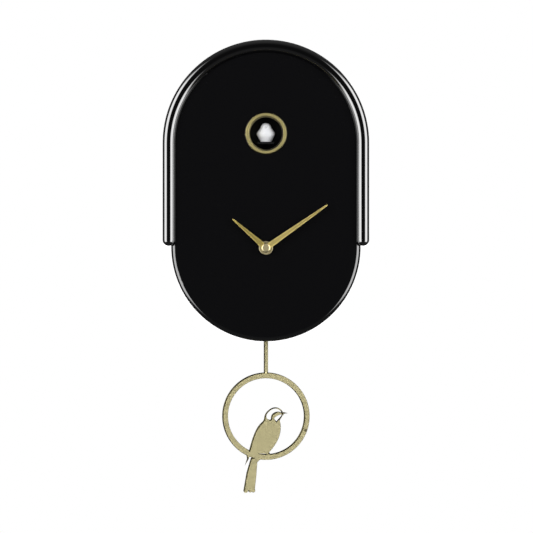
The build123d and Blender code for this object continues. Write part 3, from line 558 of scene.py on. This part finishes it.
paint(MAGNET, "rotor", "swing_magnet")
paint(RUBBER, "rubber_washer")
paint(PAPER, "speaker_cone")
paint(copper_winding("stepper_winding", 0.15 * MM, 2), "stepper_coil")
paint(copper_winding("sensor_winding", 0.2 * MM, 1), "pendulum_coil")
for cell in ("movement_battery", "cuckoo_batteries"):
    low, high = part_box(cell)
    paint(cell_sleeve(cell + "_sleeve", low[0], high[0]), cell)

# ---- porthole bezel ----------------------------------------------------------------------------


def porthole_bezel():
    """The turned gold ring round the porthole, with its flange in front of the dial."""
    low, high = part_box("porthole_ring")
    outer = (high[0] - low[0]) / 2
    bore = outer - 4.8 * MM
    seat = low[1] + 2.5 * MM
    neck = bore + 1.3 * MM
    profile = [  # radius, y and the corner's rounding
        (bore, high[1], 0.1 * MM),
        (bore, low[1] + 2.2 * MM, 0.1 * MM),
        (bore + 1.4 * MM, low[1], 0.08 * MM),
        (outer - 0.9 * MM, low[1], 0.08 * MM),
        (outer, low[1] + 1.9 * MM, 0.1 * MM),
        (outer, seat, 0.0),
        (neck, seat, 0.0),
        (neck, high[1], 0.1 * MM),
    ]
    bm = bmesh.new()
    lathe(bm, rounded([row[:2] for row in profile], [row[2] for row in profile]), PORT.x, PORT.z)
    piece = finish_mesh("porthole_bezel", bm, "case", RING_GOLD)
    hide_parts("porthole_ring")


porthole_bezel()

# ---- hands -------------------------------------------------------------------------------------


def clock_hand(node, length, root, tip, hub, bore, degrees, colour):
    """A stamped hand with rounded edges and a darker brushed strip down its middle.

    The blade tapers from root wide at the hub's middle to tip wide at its end; hub and bore are
    radii, and degrees is the hand's direction, clockwise from upright.
    """
    low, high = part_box(node)
    turn = math.radians(degrees)
    sin, cos = math.sin(turn), math.cos(turn)

    def place(x, z):
        return HUB.x + x * cos + z * sin, HUB.z - x * sin + z * cos

    def width(z):
        return root - (root - tip) * z / length

    half = math.asin(width(hub) / 2 / hub)
    steps = 72
    arc = []
    for k in range(steps + 1):
        angle = math.pi / 2 + half + (2 * math.pi - 2 * half) * k / steps
        arc.append((hub * math.cos(angle), hub * math.sin(angle)))
    end = length - 0.1 * MM
    nose_steps = 4
    nose = rounded([(tip / 2, end), (-tip / 2, end), (-root / 2, 0), (root / 2, 0)],
                   [0.5 * MM, 0.5 * MM, 0, 0], nose_steps)
    nose = nose[:2 * (nose_steps + 1)]  # without the two corners at the root
    blade = [place(*point) for point in arc + nose]
    hole = []
    for k in range(48):
        angle = 2 * math.pi * k / 48
        hole.append(place(bore * math.cos(angle), bore * math.sin(angle)))
    gold = brushed_metal(node + "_gold", colour, [0.76 * c for c in colour], 0.43, turn)
    dark = brushed_metal(node + "_strip", [0.80 * c for c in colour], [0.55 * c for c in colour],
                         0.40, turn, 1.2e-5)
    bm = plate([blade, hole], low[1], high[1], 0.14 * MM)
    piece = finish_mesh(node + "_blade", bm, node, gold)
    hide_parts(node)
    margin = 0.85 * MM
    start, stop = hub + 1.2 * MM, length - 2.4 * MM
    wide = width(start) / 2 - margin
    narrow = max(width(stop) / 2 - margin * 0.75, 0.3 * MM)
    strip = rounded([(-wide, start), (wide, start), (narrow, stop), (-narrow, stop)],
                    [0.3 * MM, 0.3 * MM, 0.2 * MM, 0.2 * MM], 3)
    strip = [place(*point) for point in strip]
    bm = plate([strip], low[1] - 0.07 * MM, low[1] + 0.1 * MM, 0.03 * MM)
    finish_mesh(node + "_inlay", bm, node, dark)


clock_hand("hour_hand", 44.0 * MM, 6.0 * MM, 1.4 * MM, 4.6 * MM, 2.5 * MM, -49.0,
           (0.53, 0.425, 0.125))
clock_hand("minute_hand", 74.7 * MM, 5.8 * MM, 1.7 * MM, 4.4 * MM, 1.75 * MM, 55.0,
           (0.80, 0.65, 0.23))

# ---- pendulum bob ------------------------------------------------------------------------------


def bob():
    """The ring and bird of one plate, with edges cut back 1.9 mm deep."""
    low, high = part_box("pendulum_bob")
    bm = cut_plate(outline("pendulum_bob"), low[1], high[1],
                   slope_in=0.3 * MM, slope_back=1.9 * MM, extra=1.3 * MM)
    piece = finish_mesh("bob_plate", bm, "pendulum", BRASS)
    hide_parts("pendulum_bob")


bob()

# ---- bird --------------------------------------------------------------------------------------


def loft(bm, sections, steps=40):
    """A closed form through elliptical sections, each a centre and two half axes."""
    rings = []
    for middle, u, v in sections:
        ring = []
        for k in range(steps):
            a = 2 * math.pi * k / steps
            ring.append(bm.verts.new(middle + u * math.cos(a) + v * math.sin(a)))
        rings.append(ring)
    for one, two in zip(rings, rings[1:]):
        bridge(bm, one, two)
    bm.faces.new(rings[0][::-1])
    bm.faces.new(rings[-1])


def curve_at(points, t):
    """Smooth value at t through (t, value...) points, by Catmull-Rom."""
    for i in range(len(points) - 1):
        if t <= points[i + 1][0]:
            break
    p0, p1, p2 = points[max(i - 1, 0)], points[i], points[i + 1]
    p3 = points[min(i + 2, len(points) - 1)]
    s = (t - p1[0]) / (p2[0] - p1[0])
    out = []
    for a, b, c, d in zip(p0[1:], p1[1:], p2[1:], p3[1:]):
        out.append(0.5 * (2 * b + (c - a) * s + (2 * a - 5 * b + 4 * c - d) * s * s
                          + (3 * b - a - 3 * c + d) * s ** 3))
    return out


# the body's height, half width, half depth and the depth of its middle, in mm
BIRD_BODY = [
    (0.0, 5.2, 4.6, 0.4), (0.6, 5.6, 5.0, 0.35), (2.5, 6.6, 6.0, 0.3), (5.0, 8.0, 6.9, 0.1),
    (7.0, 9.0, 7.1, -0.1), (8.6, 9.2, 7.0, -0.3), (10.0, 8.5, 6.5, -0.5), (11.5, 7.5, 5.9, -0.7),
    (13.0, 6.3, 5.3, -0.85), (14.3, 5.6, 5.0, -0.95), (15.6, 5.2, 4.8, -1.0),
    (17.0, 4.4, 4.2, -1.0), (18.2, 3.1, 3.0, -0.9), (19.0, 1.2, 1.2, -0.7),
]
# a folded wing's height, distance from the middle, depth, half breadth and half thickness, in mm
BIRD_WING = [
    (13.0, 4.3, -1.6, 1.0, 0.8), (11.5, 5.7, -1.0, 3.0, 1.3), (9.5, 7.0, 0.2, 4.3, 1.6),
    (7.5, 7.4, 1.2, 4.6, 1.65), (5.5, 6.5, 2.2, 4.3, 1.6), (3.5, 5.4, 3.2, 3.4, 1.2),
    (1.6, 4.6, 4.2, 1.8, 0.7),
]


def bird_forms(mid, foot):
    """Body, wings, tail and beak as closed forms that run into each other."""
    bm = bmesh.new()
    sections = []
    for k in range(61):
        t = 19.0 * k / 60
        wide, deep, shift = curve_at(BIRD_BODY, t)
        spot = Vector((0, mid + shift * MM, foot + t * MM))
        across = Vector((max(wide, 0.3) * MM, 0, 0))
        sections.append((spot, across, Vector((0, max(deep, 0.3) * MM, 0))))
    loft(bm, sections)
    flank = [(-row[0], *row) for row in BIRD_WING]
    for side in (-1, 1):
        sections = []
        for k in range(31):
            rise, wide, deep, broad, thick = curve_at(flank, -13.0 + 11.4 * k / 30)
            spot = Vector((side * wide * MM, mid + deep * MM, foot + rise * MM))
            along = Vector((0, broad * MM, broad * 0.25 * MM))
            sections.append((spot, along, Vector((side * thick * MM, 0, 0))))
        loft(bm, sections, 28)
    tail = []
    for k in range(13):
        t = k / 12
        spot = Vector((0, mid + (4.0 + 7.2 * t) * MM, foot + (5.6 - 2.6 * t) * MM))
        across = Vector(((2.2 + 0.9 * t) * MM, 0, 0))
        tail.append((spot, across, Vector((0, 0.3 * MM, (1.3 - 0.5 * t) * MM))))
    loft(bm, tail, 24)
    beak = []
    for k in range(9):
        t = k / 8
        spot = Vector((0, mid - (5.0 + 2.9 * t) * MM, foot + (14.9 - 0.7 * t) * MM))
        size = (1.25 * (1 - t) ** 0.8 + 0.12) * MM
        beak.append((spot, Vector((size, 0, 0)), Vector((0, 0, size * 0.75))))
    loft(bm, beak, 20)
    return bm


def joined(bm, voxel):
    """Closed forms made into one smoothed skin."""
    bmesh.ops.recalc_face_normals(bm, faces=bm.faces)
    rough = bpy.data.meshes.new("bird_rough")
    bm.to_mesh(rough)
    bm.free()
    holder = linked("bird_rough", rough)
    remesh = holder.modifiers.new("remesh", "REMESH")
    remesh.mode = "VOXEL"
    remesh.voxel_size = voxel
    smooth = holder.modifiers.new("smooth", "SMOOTH")
    smooth.factor = 0.5
    smooth.iterations = 5
    skin = evaluated(holder)
    bpy.data.meshes.remove(rough)
    return skin


def bird():
    """A small moulded bird, seen from the front: domed head, folded wings and a short tail."""
    low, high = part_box("bird")
    foot = low[2]
    mid = low[1] + 8.25 * MM
    bm = joined(bird_forms(mid, foot), 0.22 * MM)
    bm.normal_update()
    moves = []
    for v in bm.verts:
        x, y, z = v.co.x / MM, (v.co.y - mid) / MM, (v.co.z - foot) / MM
        wing = min(max((abs(x) - 5.6) / 1.2, 0), 1) * min(max((12.0 - z) / 2, 0), 1)
        feather = 0.16 * wing * max(math.sin((z + 0.9 * y) * 2.4), 0) ** 4
        down = 0.05 * (1 - wing) * noise.noise(Vector((x * 1.3, y * 1.3, z * 0.8)))
        moves.append(v.normal * (down - feather) * MM)
    for v, move in zip(bm.verts, moves):
        v.co += move
        v.co.x = min(max(v.co.x, low[0]), high[0])
        v.co.y = min(max(v.co.y, low[1]), high[1])
        v.co.z = max(v.co.z, foot)
    piece = finish_mesh("bird_figure", bm, "cuckoo", WHITE, 60)
    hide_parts("bird")


bird()

# ---- floor, light and camera -------------------------------------------------------------------


def floor():
    """A wide white floor far below, whose light comes up at the undersides."""
    bm = bmesh.new()
    bmesh.ops.create_grid(bm, x_segments=2, y_segments=2, size=14)
    mesh = bpy.data.meshes.new("floor")
    bm.to_mesh(mesh)
    bm.free()
    obj = linked("floor", mesh)
    obj.location = (0, 0, -5.6)
    f = Finish("floor_paint", (0.86, 0.86, 0.86), 0.9)
    f.tint(f.spread(f.noise(0.6, 2), 0.4, 0.6), (0.84, 0.84, 0.845))
    mesh.materials.append(f.done())
    obj.visible_glossy = False


floor()


def studio():
    """White to the camera; in gloss and metal, two tall softboxes at the sides of a dim room.

    Matt surfaces get no light from it: theirs comes from the soft lights.
    """
    world = bpy.data.worlds.new("studio")
    world.use_nodes = True
    world.cycles_visibility.diffuse = False
    bpy.context.scene.world = world
    sky = Nodes(world.node_tree)
    sky.tree.nodes.clear()

    def ramp(angle, low, high, to_low=0.0, to_high=1.0):
        return sky.spread(angle, math.radians(low), math.radians(high), to_low, to_high)

    x, y, z = sky.split(sky.add("ShaderNodeTexCoord").outputs["Generated"])
    ahead = sky.math("MULTIPLY", y, -1.0)
    side = sky.math("ARCTAN2", sky.math("ABSOLUTE", x), ahead)
    rise = sky.math("ARCSINE", z)
    off_axis = sky.math("ARCCOSINE", ahead)
    across = sky.math("MULTIPLY", ramp(side, 33, 41), ramp(side, 80, 86, 1, 0))
    height = sky.math("MULTIPLY", ramp(rise, -38, -24), ramp(rise, 30, 46, 1, 0))
    softbox = sky.math("MULTIPLY", sky.math("MULTIPLY", across, height), 9.6)
    room = ramp(off_axis, 18, 50, 0.03, 0.11)
    above = ramp(rise, 40, 70, 0, 0.12)
    rear = ramp(off_axis, 163, 172, 0, 2.0)
    total = sky.math("ADD", sky.math("ADD", softbox, room), sky.math("ADD", above, rear))
    strength = sky.add("ShaderNodeMix", data_type="FLOAT")
    seen, white = strength.inputs[2], strength.inputs[3]  # to other rays and to the camera's
    sky.feed(strength.inputs["Factor"], sky.add("ShaderNodeLightPath").outputs["Is Camera Ray"])
    sky.feed(seen, total)
    sky.feed(white, 1.0)
    background = sky.add("ShaderNodeBackground")
    background.inputs["Color"].default_value = (1, 1, 1, 1)
    sky.feed(background.inputs["Strength"], strength.outputs[0])
    sky.feed(sky.add("ShaderNodeOutputWorld").inputs["Surface"], background.outputs[0])


LIGHTS_AIM = Vector((0, -0.03, -0.16))


def soft_light(name, azimuth, rise, power, size=1.6, distance=2.6):
    """A wide panel that lights matt surfaces only; gloss and metal mirror the studio instead.

    Azimuth and rise are in degrees: from the front towards +X, and above the horizon.
    """
    data = bpy.data.lights.new(name, "AREA")
    data.size = size
    data.energy = power
    obj = linked(name, data)
    turn, lift = math.radians(azimuth), math.radians(rise)
    level = math.cos(lift)
    away = Vector((math.sin(turn) * level, -math.cos(turn) * level, math.sin(lift)))
    obj.location = LIGHTS_AIM + away * distance
    obj.rotation_euler = away.to_track_quat("Z", "Y").to_euler()
    obj.visible_camera = False
    obj.visible_glossy = False


studio()
soft_light("front_left", -38, 14, 60)
soft_light("front_right", 42, 14, 50)
soft_light("rear_left", -150, 20, 60)
soft_light("rear_right", 145, 20, 50)
soft_light("below", 20, -70, 25)


def camera():
    """Square to the dial from 8 m off, which leaves almost no perspective."""
    data = bpy.data.cameras.new("camera")
    obj = linked("camera", data)
    distance = 8.0
    width = 0.533  # seen across the picture at the dial
    dial = 0.062  # the dial's distance from the wall
    data.sensor_width = 36.0
    data.lens = data.sensor_width * (distance - dial) / width
    data.clip_end = 60.0
    obj.location = (0.0006, -distance, -0.1836)
    obj.rotation_euler = (math.pi / 2, 0, 0)
    bpy.context.scene.camera = obj


camera()
bpy.context.scene.view_settings.view_transform = "Standard"
